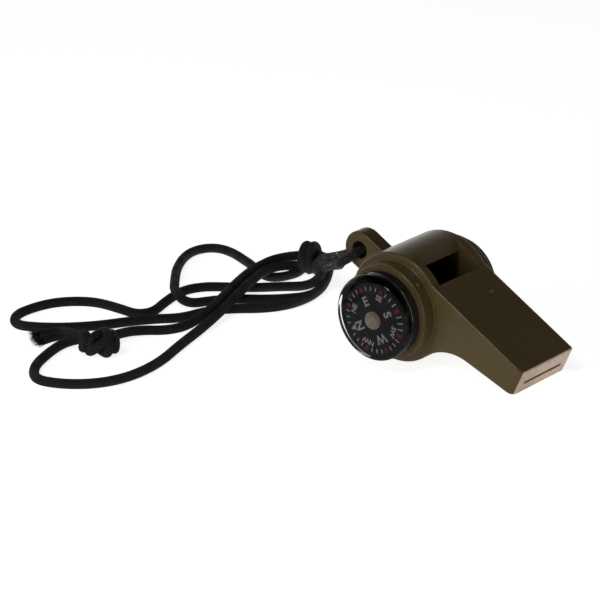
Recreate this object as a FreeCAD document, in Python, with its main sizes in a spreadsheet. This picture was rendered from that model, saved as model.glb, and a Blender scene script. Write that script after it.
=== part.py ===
import FreeCAD, Part
import math
import os
import Sketcher

# Survival whistle: a moulded whistle that stands on its round barrel and on the tip of
# its mouthpiece, with a small compass in one side and a small thermometer in the other,
# and a folded lanyard looped through the lug at its back.
# All lengths are in millimetres and all angles in degrees.
#
# The whistle is drawn level first: x runs from the barrel's centre to the mouth, y from
# the compass side to the thermometer side, z up. The finished pieces are then tipped
# nose down onto the surface that they rest on, which is z = 0.

SIZES = {
    # barrel and mouthpiece
    "barrel_rad": 13.0,
    "half_width": 9.6,
    "mouth_reach": 35.0,
    "mouth_lean": 0.6,
    "top_drop": 1.2,
    "mouth_depth": 6.9,
    "root_depth": 12.4,
    "throat_round": 12.0,
    "mouth_corner": 1.8,
    "far_corner": 0.7,
    "edge_round": 0.5,
    # sound chamber, window and windway
    "barrel_wall": 2.0,
    "side_wall": 2.2,
    "window_front": 5.8,
    "lip_back": 0.35,
    "lip_drop": 1.05,
    "ramp_back": 5.0,
    "ramp_over": 0.7,
    "mouth_wall": 2.7,
    "windway_drop": 2.35,
    "windway_rise": 1.15,
    "slit_drop": 4.3,
    "slit_rise": 0.8,
    # lanyard lug
    "lug_gap": 5.5,
    "lug_drop": 1.75,
    "lug_rad": 4.4,
    "lug_width": 4.0,
    "lug_bore": 2.15,
    "lug_round": 0.4,
    # round bosses and the side cover
    "boss_wall": 1.8,
    "boss_round": 0.4,
    "boss_foot": 0.4,
    "near_proud": 3.75,
    "far_proud": 3.3,
    "pocket_play": 0.05,
    "cover_step": 0.35,
    "cover_play": 0.05,
    # both capsules
    "case_rad": 9.4,
    "case_wall": 0.7,
    "case_floor": 1.0,
    "gasket_wall": 0.35,
    "lens_over": 0.7,
    "lens_wall": 0.9,
    # compass, measured outwards from the side of the whistle
    "lens_seat": 6.3,
    "lens_shoulder": 7.9,
    "lens_round": 1.5,
    "lens_front": 9.9,
    "post_rad": 1.4,
    "post_top": 4.4,
    "pin_rad": 0.3,
    "pin_foot": 2.4,
    "pin_shoulder": 7.1,
    "pin_tip": 7.65,
    "card_play": 0.2,
    "card_back": 6.5,
    "card_thick": 0.5,
    "card_sag": 0.6,
    "magnet_rad": 3.6,
    "magnet_thick": 1.2,
    "spigot_rad": 1.45,
    "hollow_rad": 1.0,
    "collar_rad": 2.05,
    "collar_rise": 0.7,
    "cap_rad": 1.7,
    "cap_rise": 1.5,
    "cap_skin": 0.35,
    "jewel_thick": 0.4,
    # thermometer, measured outwards from the side of the whistle
    "face_seat": 3.9,
    "face_shoulder": 4.6,
    "face_round": 1.1,
    "face_front": 6.1,
    "ledge_wall": 1.4,
    "dial_play": 0.05,
    "dial_back": 2.9,
    "dial_thick": 0.4,
    "dial_hole": 0.9,
    "staff_rad": 0.5,
    "staff_play": 0.05,
    "staff_foot": 0.45,
    "staff_top": 4.55,
    "hand_back": 3.6,
    "hand_thick": 0.35,
    "hand_hub": 1.3,
    "hand_reach": 6.6,
    "hand_tail": 2.6,
    "hand_root": 0.75,
    "hand_point": 0.25,
    "coil_back": 1.15,
    "coil_width": 1.4,
    "coil_strip": 0.2,
    "coil_inner": 0.75,
    "coil_pitch": 0.62,
    "anchor_deep": 1.0,
    "anchor_wide": 1.1,
    # lanyard
    "cord_rad": 1.0,
    "wrap_rad": 3.95,
    "wrap_middle": 4.2,
    "wrap_length": 6.2,
    "wrap_hole_half": 1.15,
    "wrap_hole_rise": 1.6,
    "wrap_hole_round": 1.4,
    "knot_half": 4.7,
    "knot_neck": 1.8,
    "knot_bulge": 8.5,
    "knot_middle": 3.25,
    "tail_rad": 0.9,
}

# sizes worked out from those above, so that what fits together follows its neighbour
FITTED = {
    "top_rise": "barrel_rad - top_drop",
    "chamber_rad": "barrel_rad - barrel_wall",
    "chamber_half": "half_width - side_wall",
    "lip_rise": "top_rise - lip_drop",
    "ramp_rise": "barrel_rad + ramp_over",
    "windway_half": "half_width - mouth_wall",
    "windway_floor": "top_rise - windway_drop",
    "slit_floor": "top_rise - slit_drop",
    "lug_reach": "barrel_rad + lug_gap",
    "cover_rad": "chamber_rad + cover_step",
    "cover_bore": "cover_rad + cover_play",
    "boss_rad": "case_rad + boss_wall",
    "pocket_rad": "case_rad + pocket_play",
    "gasket_rad": "case_rad + gasket_wall",
    "lens_rad": "case_rad + lens_over",
    "card_rad": "case_rad - case_wall - card_play",
    "ledge_rad": "case_rad - ledge_wall",
    "dial_rad": "case_rad - case_wall - dial_play",
}

COIL_HALF_TURNS = 13
FULL_TURN = 360.0

# The lanyard is one cord. Its middle lies in the lug's hole, and its two legs run to a
# knot in their ends. Both legs lie as the cord was dropped, in the final position.

# the far leg, from the lug to where it starts to wrap round the bundle
FAR_LEAD = [
    (-24.75, 1.9, 19.9), (-24.75, 4.3, 19.9), (-25.9, 6.1, 19.5), (-29.2, 6.9, 18.2),
    (-34.0, 8.0, 15.8), (-39.5, 10.9, 12.9), (-45.3, 14.4, 9.9), (-49.6, 17.3, 7.6),
    (-52.6, 19.3, 5.6), (-54.8, 20.3, 3.7),
]
# the far leg, from the wrap to the knot
FAR_RUN = [
    (-60.3, 21.1, 1.1), (-61.1, 22.9, 1.1), (-63.4, 24.0, 1.1), (-66.8, 21.4, 1.1),
    (-69.8, 16.6, 1.1), (-73.8, 13.6, 1.1), (-79.4, 16.0, 1.1), (-85.5, 17.9, 1.1),
    (-89.1, 15.4, 1.1), (-88.9, 9.9, 1.1), (-84.7, 1.5, 1.2), (-77.4, -7.6, 2.4),
    (-70.0, -15.0, 3.4), (-65.5, -14.6, 1.9), (-62.4, -9.9, 1.1), (-58.7, -4.9, 1.1),
    (-54.5, -0.2, 1.1), (-49.6, 3.6, 1.1), (-48.4, 9.6, 1.1), (-49.3, 15.3, 1.2),
    (-51.2, 20.2, 1.8), (-54.7, 23.4, 3.0), (-60.8, 20.4, 3.15), (-63.6, 16.0, 2.5),
    (-63.6, 9.8, 2.2), (-58.3, 0.1, 3.5), (-54.4, -8.4, 3.4), (-52.6, -16.4, 2.4),
    (-51.3, -24.8, 1.1), (-48.2, -34.7, 1.1), (-46.6, -43.7, 1.1), (-45.8, -52.7, 1.1),
    (-47.6, -59.6, 1.1), (-51.6, -64.7, 1.1), (-57.1, -68.0, 1.1), (-62.1, -68.8, 1.1),
    (-67.1, -63.9, 1.1), (-69.9, -57.2, 1.1), (-71.5, -51.1, 1.2), (-69.8, -48.1, 1.9),
    (-66.5, -47.7, 3.0),
]
# the near leg, from the lug to the knot
NEAR_RUN = [
    (-24.75, 1.9, 19.9), (-24.75, -0.5, 19.9), (-25.9, -2.3, 19.2), (-29.2, -2.5, 17.3),
    (-33.6, 1.2, 14.2), (-38.8, 6.6, 10.8), (-44.0, 11.4, 8.0), (-48.6, 14.4, 6.0),
    (-50.9, 14.4, 3.6), (-52.6, 12.1, 1.3), (-55.7, 8.9, 1.1), (-59.2, 5.2, 1.1),
    (-62.8, 2.3, 1.1), (-67.1, 0.2, 1.1), (-70.9, -3.3, 1.1), (-72.8, -8.6, 1.1),
    (-71.0, -16.8, 1.1), (-68.8, -22.6, 1.1), (-70.6, -26.4, 1.1), (-76.2, -26.3, 1.1),
    (-83.2, -26.6, 1.1), (-88.0, -29.2, 1.1), (-91.6, -33.4, 1.1), (-93.2, -38.8, 1.1),
    (-93.0, -45.1, 1.1), (-88.6, -49.2, 1.1), (-82.9, -46.6, 1.1), (-77.4, -42.2, 1.1),
    (-72.4, -37.2, 1.3), (-69.3, -31.0, 1.1), (-65.5, -25.8, 1.1), (-60.9, -21.4, 1.1),
    (-58.0, -15.8, 1.1), (-54.5, -10.2, 1.1), (-50.2, -5.1, 1.1), (-46.6, 0.6, 1.1),
    (-46.0, 8.2, 1.1), (-47.4, 14.6, 1.8), (-50.2, 20.1, 3.8), (-54.5, 23.6, 5.2),
    (-60.9, 20.4, 5.3), (-64.3, 15.8, 4.8), (-64.6, 10.6, 4.2), (-63.3, 4.0, 3.9),
    (-60.0, -5.6, 3.6), (-56.6, -13.9, 3.5), (-56.0, -19.4, 2.3), (-56.6, -24.7, 1.1),
    (-58.7, -29.6, 1.1), (-62.3, -33.2, 1.1), (-63.4, -39.1, 1.8), (-62.9, -44.8, 3.0),
]
# the two frayed tails that stick out of the knot
UPPER_TAIL = [(-66.6, -48.4, 3.6), (-70.0, -46.9, 2.9), (-74.6, -46.9, 1.6), (-79.6, -49.6, 1.0)]
LOWER_TAIL = [(-66.6, -50.2, 2.4), (-70.4, -50.3, 1.6), (-74.4, -52.1, 1.0), (-76.7, -55.0, 1.0)]
# how much of the shorter run each arc of the cord takes up
ARC_SHARE = 0.45
# the middle of the wrap, the middle of the knot and which way each of them lies
WRAP_SPOT = (-57.9, 21.8)
WRAP_HEADING = -64.2
KNOT_SPOT = (-62.9, -47.4)
KNOT_HEADING = -48.9

doc = FreeCAD.newDocument("SurvivalWhistle")
sheet = doc.addObject("Spreadsheet::Sheet", "sizes")
for row, (name, value) in enumerate(SIZES.items(), start=1):
    sheet.set(f"A{row}", name)
    sheet.set(f"B{row}", str(value))
    sheet.setAlias(f"B{row}", name)
doc.recompute()


def amount(formula):
    """The value of a sum such as 'half_width + near_proud - edge_round'."""
    total = 0.0
    sign = 1.0
    for word in formula.split():
        if word in "+-":
            sign = 1.0 if word == "+" else -1.0
        elif word in FITTED:
            total += sign * amount(FITTED[word])
        elif word != "0":
            total += sign * SIZES[word]
    return total


def bound(formula):
    """The same sum written for the document, with its names looked up in the sheet."""
    words = []
    for word in formula.split():
        if word in FITTED:
            words.append("(" + bound(FITTED[word]) + ")")
        else:
            words.append(word if word in "+-" else "sizes." + word)
    return " ".join(words)


def vector(x, y, z=0.0):
    return FreeCAD.Vector(x, y, z)


def new_body(label):
    body = doc.addObject("PartDesign::Body", label)
    body.Label = label
    return body


def new_sketch(body, name, role):
    """An empty sketch on one of the body's own origin planes."""
    plane = [item for item in body.Origin.OriginFeatures if item.Role == role][0]
    sketch = body.newObject("Sketcher::SketchObject", name)
    sketch.AttachmentSupport = [(plane, "")]
    sketch.MapMode = "FlatFace"
    return sketch


def bind(sketch, constraint, formula):
    """Adds a sketch constraint and ties its value to the sheet."""
    index = sketch.addConstraint(constraint)
    sketch.setExpression(f"Constraints[{index}]", bound(formula))


def arc_through(start, top, end):
    """An arc through three points that always runs anticlockwise, as a sketch wants it."""
    turn_left = top.sub(start).cross(end.sub(top)).z > 0
    return Part.Arc(start, top, end) if turn_left else Part.Arc(end, top, start)


def arc_between(start, end, radius, side):
    """The short arc between two points, with its centre to the left (side 1) or right (-1)."""
    chord = end.sub(start)
    left = vector(-chord.y, chord.x).normalize()
    middle = (start + end) * 0.5
    rise = math.sqrt(max(radius ** 2 - (chord.Length / 2) ** 2, 0.0))
    top = middle + left * (side * (rise - radius))
    return arc_through(start, top, end)


def dome_between(start, end):
    """An arc between two points whose centre lies on the sketch's upright axis."""
    rise = end.y - start.y
    centre = (end.y ** 2 + end.x ** 2 - start.y ** 2 - start.x ** 2) / (2 * rise)
    radius = math.hypot(start.x, start.y - centre)
    between = (math.atan2(start.y - centre, start.x) + math.atan2(end.y - centre, end.x)) / 2
    top = vector(radius * math.cos(between), centre + radius * math.sin(between))
    return arc_through(start, top, end)


def end_at(sketch, index, point):
    """1 when the piece of outline starts at the point, 2 when it ends there."""
    starts = sketch.Geometry[index].StartPoint.distanceToPoint(point)
    ends = sketch.Geometry[index].EndPoint.distanceToPoint(point)
    return 1 if starts < ends else 2


def fix_corner(sketch, index, place, across, along):
    """Ties one corner of an outline to the sheet, or to an axis where it is zero."""
    if across == "0":
        sketch.addConstraint(Sketcher.Constraint("PointOnObject", index, place, -2))
    else:
        rule = Sketcher.Constraint("DistanceX", -1, 1, index, place, amount(across))
        bind(sketch, rule, across)
    if along == "0":
        sketch.addConstraint(Sketcher.Constraint("PointOnObject", index, place, -1))
    else:
        rule = Sketcher.Constraint("DistanceY", -1, 1, index, place, amount(along))
        bind(sketch, rule, along)


def draw_outline(sketch, corners):
    """A closed outline. A corner is (across, along), with a third entry where the way to
    the next corner is an arc: 'dome', or the name of a radius and the side of its centre."""
    points = [vector(amount(corner[0]), amount(corner[1])) for corner in corners]
    total = len(corners)
    for index, corner in enumerate(corners):
        start = points[index]
        end = points[(index + 1) % total]
        if len(corner) == 2:
            sketch.addGeometry(Part.LineSegment(start, end))
        elif corner[2] == "dome":
            sketch.addGeometry(dome_between(start, end))
            sketch.addConstraint(Sketcher.Constraint("PointOnObject", index, 3, -2))
        else:
            radius, side = corner[2]
            sketch.addGeometry(arc_between(start, end, amount(radius), side))
            bind(sketch, Sketcher.Constraint("Radius", index, amount(radius)), radius)
    for index, corner in enumerate(corners):
        place = end_at(sketch, index, points[index])
        before = (index - 1) % total
        met = end_at(sketch, before, points[index])
        sketch.addConstraint(Sketcher.Constraint("Coincident", before, met, index, place))
        fix_corner(sketch, index, place, corner[0], corner[1])


def draw_circle(sketch, radius, across="0", along="0"):
    centre = vector(amount(across), amount(along))
    index = sketch.addGeometry(Part.Circle(centre, vector(0, 0, 1), amount(radius)))
    bind(sketch, Sketcher.Constraint("Radius", index, amount(radius)), radius)
    fix_corner(sketch, index, 3, across, along)


def turn(body, kind, name, corners):
    """Spins an outline of (radius, place along the axis) round the y axis."""
    sketch = new_sketch(body, name + "_outline", "XY_Plane")
    draw_outline(sketch, corners)
    feature = body.newObject("PartDesign::" + kind, name)
    feature.Profile = sketch
    feature.ReferenceAxis = (sketch, ["V_Axis"])
    feature.Angle = FULL_TURN
    return feature


def extrude(body, kind, name, sketch, half_depth):
    """Pads or pockets a sketch on the xz plane equally to both sides of it."""
    feature = body.newObject("PartDesign::" + kind, name)
    feature.Profile = sketch
    feature.SideType = "Symmetric"
    feature.setExpression("Length", "2 * " + bound(half_depth))
    return feature


def round_edges(body, base, name, radius, wanted):
    """Rounds the edges of the last feature that the test picks out by their place."""
    doc.recompute()
    edges = base.Shape.Edges
    chosen = [f"Edge{index}" for index, edge in enumerate(edges, start=1) if wanted(edge)]
    feature = body.newObject("PartDesign::Fillet", name)
    feature.Base = (base, chosen)
    feature.setExpression("Radius", bound(radius))
    return feature


def near(value, target, slack=0.02):
    return abs(value - target) < slack


def along_y(edge):
    """True for a straight edge that runs across the whistle."""
    box = edge.BoundBox
    return near(box.XLength, 0) and near(box.ZLength, 0) and box.YLength > 1


def on_side(edge):
    """True for an edge that lies in one of the whistle's two flat sides."""
    box = edge.BoundBox
    return near(box.YLength, 0) and near(abs(box.YMin), amount("half_width"))


def turned_piece(label, corners):
    body = new_body(label)
    turn(body, "Revolution", label + "_turned", corners)
    return body


def whistle_body():
    """The moulded whistle: barrel, mouthpiece, compass boss and lug in one piece."""
    body = new_body("whistle_body")

    sketch = new_sketch(body, "barrel_circle", "XZ_Plane")
    draw_circle(sketch, "barrel_rad")
    extrude(body, "Pad", "barrel", sketch, "half_width")

    sketch = new_sketch(body, "mouthpiece_side", "XZ_Plane")
    draw_outline(sketch, [
        ("0", "top_rise - root_depth"),
        ("mouth_reach", "top_rise - mouth_depth"),
        ("mouth_reach - mouth_lean", "top_rise"),
        ("0", "top_rise"),
    ])
    mouthpiece = extrude(body, "Pad", "mouthpiece", sketch, "half_width")

    def throat(edge):
        box = edge.BoundBox
        return along_y(edge) and box.XMin > 0 and box.ZMin < amount("top_rise - mouth_depth") \
            and box.XMax < amount("mouth_reach") - 1

    throat_blend = round_edges(body, mouthpiece, "throat_blend", "throat_round", throat)

    def mouth_upright(edge):
        box = edge.BoundBox
        return on_side(edge) and box.XMin > amount("mouth_reach - mouth_lean") - 0.1 \
            and box.ZLength > 1

    near_round = round_edges(body, throat_blend, "near_mouth_corner", "mouth_corner",
                             lambda edge: mouth_upright(edge) and edge.BoundBox.YMin < 0)
    far_round = round_edges(body, near_round, "far_mouth_corner", "far_corner",
                            lambda edge: mouth_upright(edge) and edge.BoundBox.YMin > 0)

    def outer_edge(edge):
        box = edge.BoundBox
        at_mouth = box.XMin > amount("mouth_reach - mouth_lean - mouth_corner") - 0.1
        at_end = at_mouth and box.ZLength < 1
        return on_side(edge) or at_end

    round_edges(body, far_round, "soft_edges", "edge_round", outer_edge)

    turn(body, "Revolution", "compass_boss", [
        ("0", "- half_width"),
        ("boss_rad + boss_foot", "- half_width", ("boss_foot", -1)),
        ("boss_rad", "- half_width - boss_foot"),
        ("boss_rad", "- half_width - near_proud + boss_round", ("boss_round", 1)),
        ("boss_rad - boss_round", "- half_width - near_proud"),
        ("0", "- half_width - near_proud"),
    ])

    sketch = new_sketch(body, "lug_side", "XZ_Plane")
    draw_outline(sketch, [
        ("- lug_reach", "- lug_drop + lug_rad", ("lug_rad", 1)),
        ("- lug_reach - lug_rad", "- lug_drop", ("lug_rad", 1)),
        ("- lug_reach", "- lug_drop - lug_rad"),
        ("0", "- lug_drop - lug_rad"),
        ("0", "- lug_drop + lug_rad"),
    ])
    lug = body.newObject("PartDesign::Pad", "lug")
    lug.Profile = sketch
    lug.SideType = "Symmetric"
    lug.setExpression("Length", bound("lug_width"))

    def lug_edge(edge):
        box = edge.BoundBox
        return near(box.YLength, 0) and near(abs(box.YMin), amount("lug_width") / 2) \
            and box.XMin < -amount("barrel_rad + lug_round")

    round_edges(body, lug, "lug_soft_edges", "lug_round", lug_edge)

    sketch = new_sketch(body, "lug_hole_circle", "XZ_Plane")
    draw_circle(sketch, "lug_bore", "- lug_reach", "- lug_drop")
    extrude(body, "Pocket", "lug_hole", sketch, "lug_width")

    turn(body, "Groove", "chamber", [
        ("0", "- chamber_half"),
        ("chamber_rad", "- chamber_half"),
        ("chamber_rad", "chamber_half"),
        ("cover_bore", "chamber_half"),
        ("cover_bore", "half_width + edge_round"),
        ("0", "half_width + edge_round"),
    ])
    turn(body, "Groove", "compass_pocket", [
        ("0", "- half_width"),
        ("pocket_rad", "- half_width"),
        ("pocket_rad", "- half_width - near_proud - edge_round"),
        ("0", "- half_width - near_proud - edge_round"),
    ])

    sketch = new_sketch(body, "window_side", "XZ_Plane")
    draw_outline(sketch, [
        ("- lip_back", "windway_floor - windway_rise"),
        ("window_front", "windway_floor - windway_rise"),
        ("window_front", "ramp_rise"),
        ("- ramp_back", "ramp_rise"),
        ("- lip_back", "lip_rise"),
    ])
    extrude(body, "Pocket", "window", sketch, "chamber_half")

    sketch = new_sketch(body, "windway_side", "XZ_Plane")
    draw_outline(sketch, [
        ("window_front - windway_rise", "windway_floor"),
        ("mouth_reach + windway_rise", "slit_floor"),
        ("mouth_reach + windway_rise", "slit_floor + slit_rise"),
        ("window_front - windway_rise", "windway_floor + windway_rise"),
    ])
    extrude(body, "Pocket", "windway", sketch, "windway_half")
    return body


def side_cover():
    """The round cover that closes the chamber and carries the thermometer."""
    return turned_piece("side_cover", [
        ("0", "chamber_half"),
        ("cover_rad", "chamber_half"),
        ("cover_rad", "half_width"),
        ("boss_rad", "half_width"),
        ("boss_rad", "half_width + far_proud - boss_round", ("boss_round", 1)),
        ("boss_rad - boss_round", "half_width + far_proud"),
        ("pocket_rad", "half_width + far_proud"),
        ("pocket_rad", "half_width"),
        ("0", "half_width"),
    ])


def lens(label, seat, shoulder, corner, front):
    """A clear domed cover with a rounded edge, open at the back."""
    return turned_piece(label, [
        ("lens_rad - lens_wall", seat),
        ("lens_rad", seat),
        ("lens_rad", shoulder, (corner, 1)),
        ("lens_rad - " + corner, shoulder + " + " + corner, "dome"),
        ("0", front),
        ("0", front + " - lens_wall", "dome"),
        ("lens_rad - lens_wall", shoulder),
    ])


def gasket(label, back, front):
    """The seal between a boss and the rim of the lens, round the case."""
    return turned_piece(label, [
        ("case_rad", back),
        ("gasket_rad", back),
        ("gasket_rad", front),
        ("case_rad", front),
    ])


def compass_pieces():
    """The pieces of the compass that stay still."""
    case = turned_piece("compass_case", [
        ("0", "0"),
        ("case_rad", "0"),
        ("case_rad", "lens_seat"),
        ("case_rad - case_wall", "lens_seat"),
        ("case_rad - case_wall", "case_floor"),
        ("post_rad", "case_floor"),
        ("post_rad", "post_top"),
        ("pin_rad", "post_top"),
        ("pin_rad", "pin_foot"),
        ("0", "pin_foot"),
    ])
    pin = turned_piece("compass_pivot_pin", [
        ("0", "pin_foot"),
        ("pin_rad", "pin_foot"),
        ("pin_rad", "pin_shoulder"),
        ("0", "pin_tip"),
    ])
    ring = gasket("compass_gasket", "near_proud", "lens_seat")
    cover = lens("compass_lens", "lens_seat", "lens_shoulder", "lens_round", "lens_front")
    return [case, pin, ring, cover]


def card_pieces():
    """The compass card and what turns with it, about the card's own axis."""
    front = "card_back + card_thick"
    back = "card_back - magnet_thick"
    card = turned_piece("compass_card", [
        ("spigot_rad", "card_back"),
        ("card_rad", "card_back"),
        ("card_rad", front),
        ("spigot_rad", front),
    ])
    magnet = turned_piece("compass_magnet", [
        ("spigot_rad", back),
        ("magnet_rad", back),
        ("magnet_rad", "card_back"),
        ("spigot_rad", "card_back"),
    ])
    cap = turned_piece("compass_hub_cap", [
        ("hollow_rad", back),
        ("spigot_rad", back),
        ("spigot_rad", front),
        ("collar_rad", front),
        ("collar_rad", front + " + collar_rise"),
        ("cap_rad", front + " + collar_rise"),
        ("cap_rad", front + " + cap_rise"),
        ("0", front + " + cap_rise"),
        ("0", front + " + cap_rise - cap_skin"),
        ("hollow_rad", front + " + cap_rise - cap_skin"),
    ])
    jewel = turned_piece("compass_jewel", [
        ("0", front + " + cap_rise - cap_skin - jewel_thick"),
        ("hollow_rad", front + " + cap_rise - cap_skin - jewel_thick"),
        ("hollow_rad", front + " + cap_rise - cap_skin"),
        ("0", front + " + cap_rise - cap_skin"),
    ])
    return [card, magnet, cap, jewel]


def coil_shape():
    """A flat spiral strip of half circles, whose centres change sides at each half turn."""
    strip = SIZES["coil_strip"] / 2
    step = SIZES["coil_pitch"] / 2
    up = vector(0, SIZES["coil_back"], 0)
    outer = []
    inner = []
    centre = 0.0
    radius = SIZES["coil_inner"] + strip
    side = 1
    for _ in range(COIL_HALF_TURNS):
        for edges, reach in ((outer, radius + strip), (inner, radius - strip)):
            start = vector(centre + side * reach, 0, 0) + up
            top = vector(centre, 0, side * reach) + up
            end = vector(centre - side * reach, 0, 0) + up
            edges.append(Part.Arc(start, top, end).toShape())
        radius += step
        centre += side * step
        side = -side
    ends = []
    for place in (0, -1):
        vertex = 0 if place == 0 else -1
        ends.append(Part.LineSegment(
            outer[place].Vertexes[vertex].Point, inner[place].Vertexes[vertex].Point).toShape())
    wire = Part.Wire(Part.sortEdges(outer + inner + ends)[0])
    strip_end = outer[-1].Vertexes[-1].Point
    return Part.Face(wire).extrude(vector(0, SIZES["coil_width"], 0)), strip_end


def coil_pieces():
    """The two-metal coil and the post that holds its outer end."""
    coil = doc.addObject("Part::Feature", "thermometer_coil")
    coil.Label = "thermometer_coil"
    coil.Shape, strip_end = coil_shape()
    outward = 1 if strip_end.x > 0 else -1
    middle = strip_end.x - outward * SIZES["coil_strip"] / 2
    turning = -outward if COIL_HALF_TURNS % 2 else outward
    low = 0 if turning < 0 else -SIZES["anchor_deep"]
    anchor = doc.addObject("Part::Box", "thermometer_coil_anchor")
    anchor.Label = "thermometer_coil_anchor"
    anchor.setExpression("Length", bound("anchor_wide"))
    anchor.setExpression("Height", bound("anchor_deep"))
    anchor.setExpression("Width", bound("coil_back + coil_width - case_floor"))
    corner = vector(middle - SIZES["anchor_wide"] / 2, SIZES["case_floor"], low)
    return coil, anchor, corner


def thermometer_pieces():
    """The pieces of the thermometer that stay still."""
    case = turned_piece("thermometer_case", [
        ("0", "staff_foot - staff_play"),
        ("0", "0"),
        ("case_rad", "0"),
        ("case_rad", "face_seat"),
        ("case_rad - case_wall", "face_seat"),
        ("case_rad - case_wall", "dial_back"),
        ("ledge_rad", "dial_back"),
        ("ledge_rad", "case_floor"),
        ("staff_rad + staff_play", "case_floor"),
        ("staff_rad + staff_play", "staff_foot - staff_play"),
    ])
    dial = turned_piece("thermometer_dial", [
        ("dial_hole", "dial_back"),
        ("dial_rad", "dial_back"),
        ("dial_rad", "dial_back + dial_thick"),
        ("dial_hole", "dial_back + dial_thick"),
    ])
    ring = gasket("thermometer_gasket", "far_proud", "face_seat")
    cover = lens("thermometer_lens", "face_seat", "face_shoulder", "face_round", "face_front")
    return [case, dial, ring, cover]


def pointer_pieces():
    """The staff and the tapered hand that turn with the coil's inner end."""
    staff = turned_piece("thermometer_staff", [
        ("0", "staff_foot"),
        ("staff_rad", "staff_foot"),
        ("staff_rad", "staff_top"),
        ("0", "staff_top"),
    ])
    hand = turned_piece("thermometer_pointer", [
        ("staff_rad", "hand_back"),
        ("hand_hub", "hand_back"),
        ("hand_hub", "hand_back + hand_thick + hand_thick"),
        ("staff_rad", "hand_back + hand_thick + hand_thick"),
    ])
    sketch = new_sketch(hand, "needle_outline", "XZ_Plane")
    draw_outline(sketch, [
        ("- hand_root", "- hand_tail"),
        ("hand_root", "- hand_tail"),
        ("hand_point", "hand_reach"),
        ("- hand_point", "hand_reach"),
    ])
    sketch.setExpression("AttachmentOffset.Base.z", "-1 * (" + bound("hand_back") + ")")
    needle = hand.newObject("PartDesign::Pad", "needle")
    needle.Profile = sketch
    needle.Reversed = True
    needle.setExpression("Length", bound("hand_thick"))
    bore = new_sketch(hand, "staff_hole_circle", "XZ_Plane")
    draw_circle(bore, "staff_rad")
    extrude(hand, "Pocket", "staff_hole", bore, "staff_top")
    return [staff, hand]


def rounded_path(points):
    """Straight runs joined by arcs, each arc as large as the shorter of its runs allows."""
    corners = [FreeCAD.Vector(*point) for point in points]
    edges = []
    radii = []
    start = corners[0]
    for before, corner, after in zip(corners, corners[1:], corners[2:]):
        arrive = corner.sub(before)
        leave = after.sub(corner)
        cut = ARC_SHARE * min(arrive.Length, leave.Length)
        half_turn = arrive.getAngle(leave) / 2
        arrive.normalize()
        leave.normalize()
        first = corner - arrive * cut
        last = corner + leave * cut
        radius = cut / math.tan(half_turn)
        inward = (leave - arrive).normalize()
        middle = corner + inward * (radius / math.cos(half_turn) - radius)
        edges.append(Part.LineSegment(start, first).toShape())
        edges.append(Part.Arc(first, middle, last).toShape())
        radii.append(radius)
        start = last
    edges.append(Part.LineSegment(start, corners[-1]).toShape())
    return Part.Wire(edges), min(radii)


def cord_piece(label, points, radius_name):
    """A round cord along a list of points. Its volume has to be its section times its length."""
    path, tightest = rounded_path(points)
    radius = SIZES[radius_name]
    start = FreeCAD.Vector(*points[0])
    heading = FreeCAD.Vector(*points[1]) - start
    section = Part.Wire(Part.makeCircle(radius, start, heading))
    piece = doc.addObject("Part::Feature", label)
    piece.Label = label
    piece.Shape = path.makePipeShell([section], True, False)
    expected = math.pi * radius ** 2 * path.Length
    print(f"{label}: length {path.Length:.1f}, tightest radius {tightest:.2f}, "
          f"volume {piece.Shape.Volume:.1f} of {expected:.1f}")
    return piece


def lanyard_wrap():
    """The turns of the far leg round the bundle, as one sleeve of their outer shape."""
    body = new_body("lanyard_wrap")
    sketch = new_sketch(body, "wrap_circle", "XZ_Plane")
    draw_circle(sketch, "wrap_rad")
    sleeve = body.newObject("PartDesign::Pad", "wrap_sleeve")
    sleeve.Profile = sketch
    sleeve.SideType = "Symmetric"
    sleeve.setExpression("Length", bound("wrap_length"))
    hole = new_sketch(body, "wrap_hole_outline", "XZ_Plane")
    draw_outline(hole, [
        ("wrap_hole_half", "- wrap_hole_rise"),
        ("wrap_hole_half", "wrap_hole_rise", ("wrap_hole_round", 1)),
        ("- wrap_hole_half", "wrap_hole_rise"),
        ("- wrap_hole_half", "- wrap_hole_rise", ("wrap_hole_round", 1)),
    ])
    extrude(body, "Pocket", "wrap_hole", hole, "wrap_length")
    return body


def lanyard_knot():
    """The knot that ties the two ends together."""
    return turned_piece("lanyard_knot", [
        ("0", "- knot_half"),
        ("knot_neck", "- knot_half", ("knot_bulge", 1)),
        ("knot_neck", "knot_half"),
        ("0", "knot_half"),
    ])


def resting_tilt():
    """How far the whistle tips down until its barrel and the tip of its lip both touch."""
    low = amount("top_rise - root_depth")
    tip = amount("top_rise - mouth_depth")
    belly = math.atan2(tip - low, SIZES["mouth_reach"])
    face = math.atan2(SIZES["mouth_lean"], SIZES["mouth_depth"])
    edge = SIZES["edge_round"]
    # the centre of the lip's rounded edge lies one edge radius inside both of its faces
    reach = SIZES["mouth_reach"] * math.cos(face) + tip * math.sin(face) - edge
    height = -SIZES["mouth_reach"] * math.sin(belly) + tip * math.cos(belly) + edge
    spread = math.cos(face - belly)
    across = (reach * math.cos(belly) - height * math.sin(face)) / spread
    upward = (reach * math.sin(belly) + height * math.cos(face)) / spread
    rise = math.atan2(upward, across)
    drop = math.asin((SIZES["barrel_rad"] - edge) / math.hypot(across, upward))
    return math.degrees(rise + drop)


def resting_place(body):
    """Stands the whistle on z = 0 with the middle of its box over the origin."""
    level = FreeCAD.Rotation(vector(0, 1, 0), resting_tilt())
    body.Placement = FreeCAD.Placement(vector(0, 0, SIZES["barrel_rad"]), level)
    doc.recompute()
    box = body.Shape.BoundBox
    sideways = amount("lens_front - face_front") / 2
    shift = vector(-(box.XMin + box.XMax) / 2, sideways, SIZES["barrel_rad"])
    return FreeCAD.Placement(shift, level)


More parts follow.
